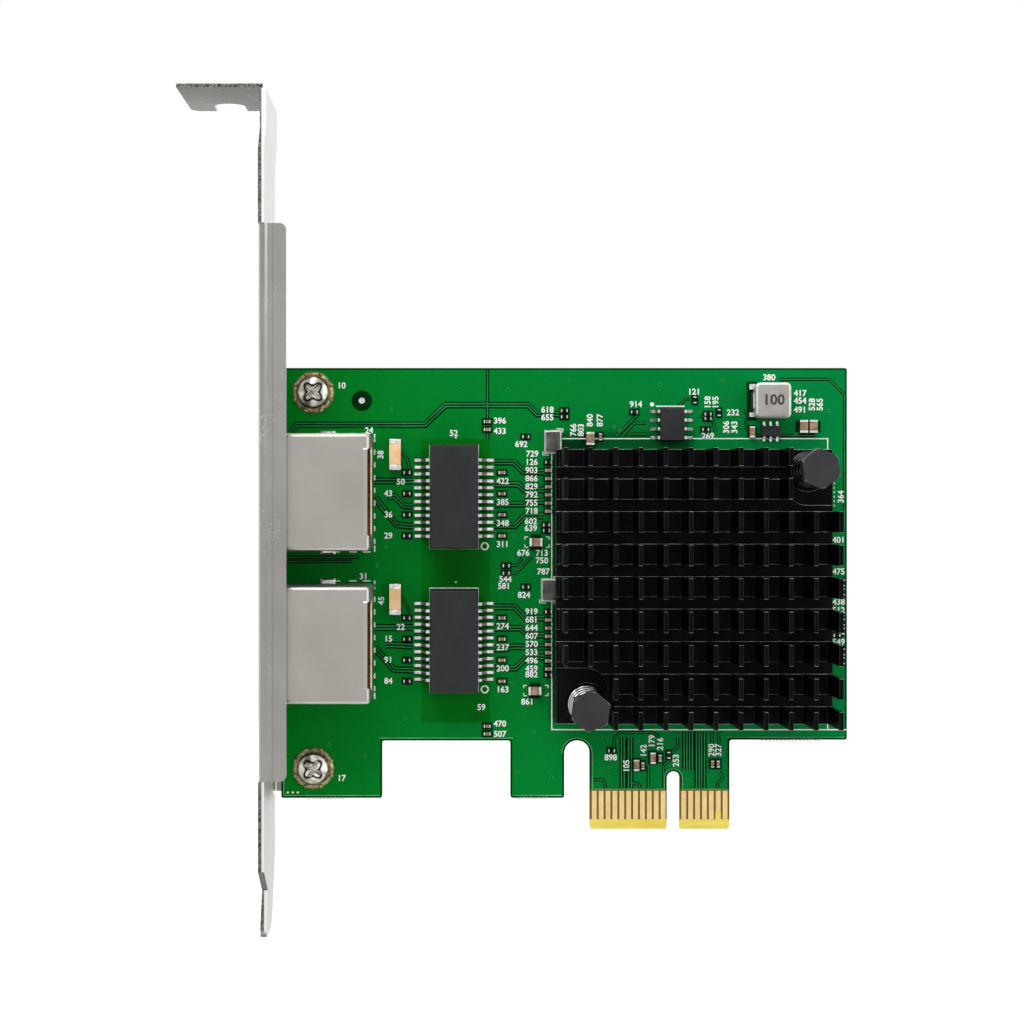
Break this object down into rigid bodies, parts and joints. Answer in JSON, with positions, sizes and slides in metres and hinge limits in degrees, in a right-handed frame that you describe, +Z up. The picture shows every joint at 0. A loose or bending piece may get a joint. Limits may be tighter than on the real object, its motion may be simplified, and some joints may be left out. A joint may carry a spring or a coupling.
{
  "type": "network interface card",
  "caption": "Network interface card for a PCI Express slot, with modular jacks, isolation transformers, a pin-fin heatsink and a full-height bracket.",
  "frame": {"origin": "on the contact edge, at the middle of the key notch and of the board's thickness", "axes": "+X along the board away from the bracket, +Y out of the solder side, +Z up from the contact edge; the component side faces -Y"},
  "size_m": [0.0956, 0.0211, 0.12],
  "materials": {
    "solder_mask": "glossy green solder mask over copper on a glass-epoxy laminate",
    "contact_gold": "gold plating",
    "bracket_steel": "nickel-plated folded steel sheet",
    "screw_nickel": "nickel-plated steel",
    "jack_nickel": "satin nickel-plated sheet",
    "housing_black": "moulded thermoplastic",
    "lamp_clear": "tinted lamp plastic",
    "package_black": "moulded epoxy",
    "tin": "tinned copper",
    "pad_grey": "silicone thermal pad",
    "anodised_black": "black anodised aluminium",
    "screw_black": "black zinc-plated steel",
    "spring_steel": "bright spring steel",
    "inductor_grey": "pressed metal-powder body, silver grey",
    "crystal_metal": "seam-welded metal lid",
    "ceramic_base": "brown ceramic",
    "capacitor_tan": "tan ceramic",
    "resistor_black": "black glazed element on white ceramic"
  },
  "bodies": {
    "root": {"bracket_screws": "screw_nickel", "chip_capacitor_bodies": "capacitor_tan", "chip_capacitor_ends": "tin", "chip_resistor_bodies": "resistor_black", "chip_resistor_ends": "tin", "circuit_board": "solder_mask", "controller_chip": "package_black", "controller_solder_balls": "tin", "crystal_lower_base": "ceramic_base", "crystal_lower_lid": "crystal_metal", "crystal_upper_base": "ceramic_base", "crystal_upper_lid": "crystal_metal", "edge_contacts": "contact_gold", "heatsink": "anodised_black", "heatsink_nuts": "screw_nickel", "heatsink_screws": "screw_black", "heatsink_springs": "spring_steel", "inductor_body": "inductor_grey", "inductor_terminals": "tin", "isolation_capacitor_bodies": "capacitor_tan", "isolation_capacitor_ends": "tin", "jack_lower_contacts": "contact_gold", "jack_lower_housing": "housing_black", "jack_lower_light_windows": "lamp_clear", "jack_lower_shield": "jack_nickel", "jack_upper_contacts": "contact_gold", "jack_upper_housing": "housing_black", "jack_upper_light_windows": "lamp_clear", "jack_upper_shield": "jack_nickel", "memory_chip_body": "package_black", "memory_chip_leads": "tin", "mounting_bracket": "bracket_steel", "regulator_body": "package_black", "regulator_leads": "tin", "thermal_pad": "pad_grey", "transformer_lower_body": "package_black", "transformer_lower_leads": "tin", "transformer_upper_body": "package_black", "transformer_upper_leads": "tin"}
  },
  "joints": []
}
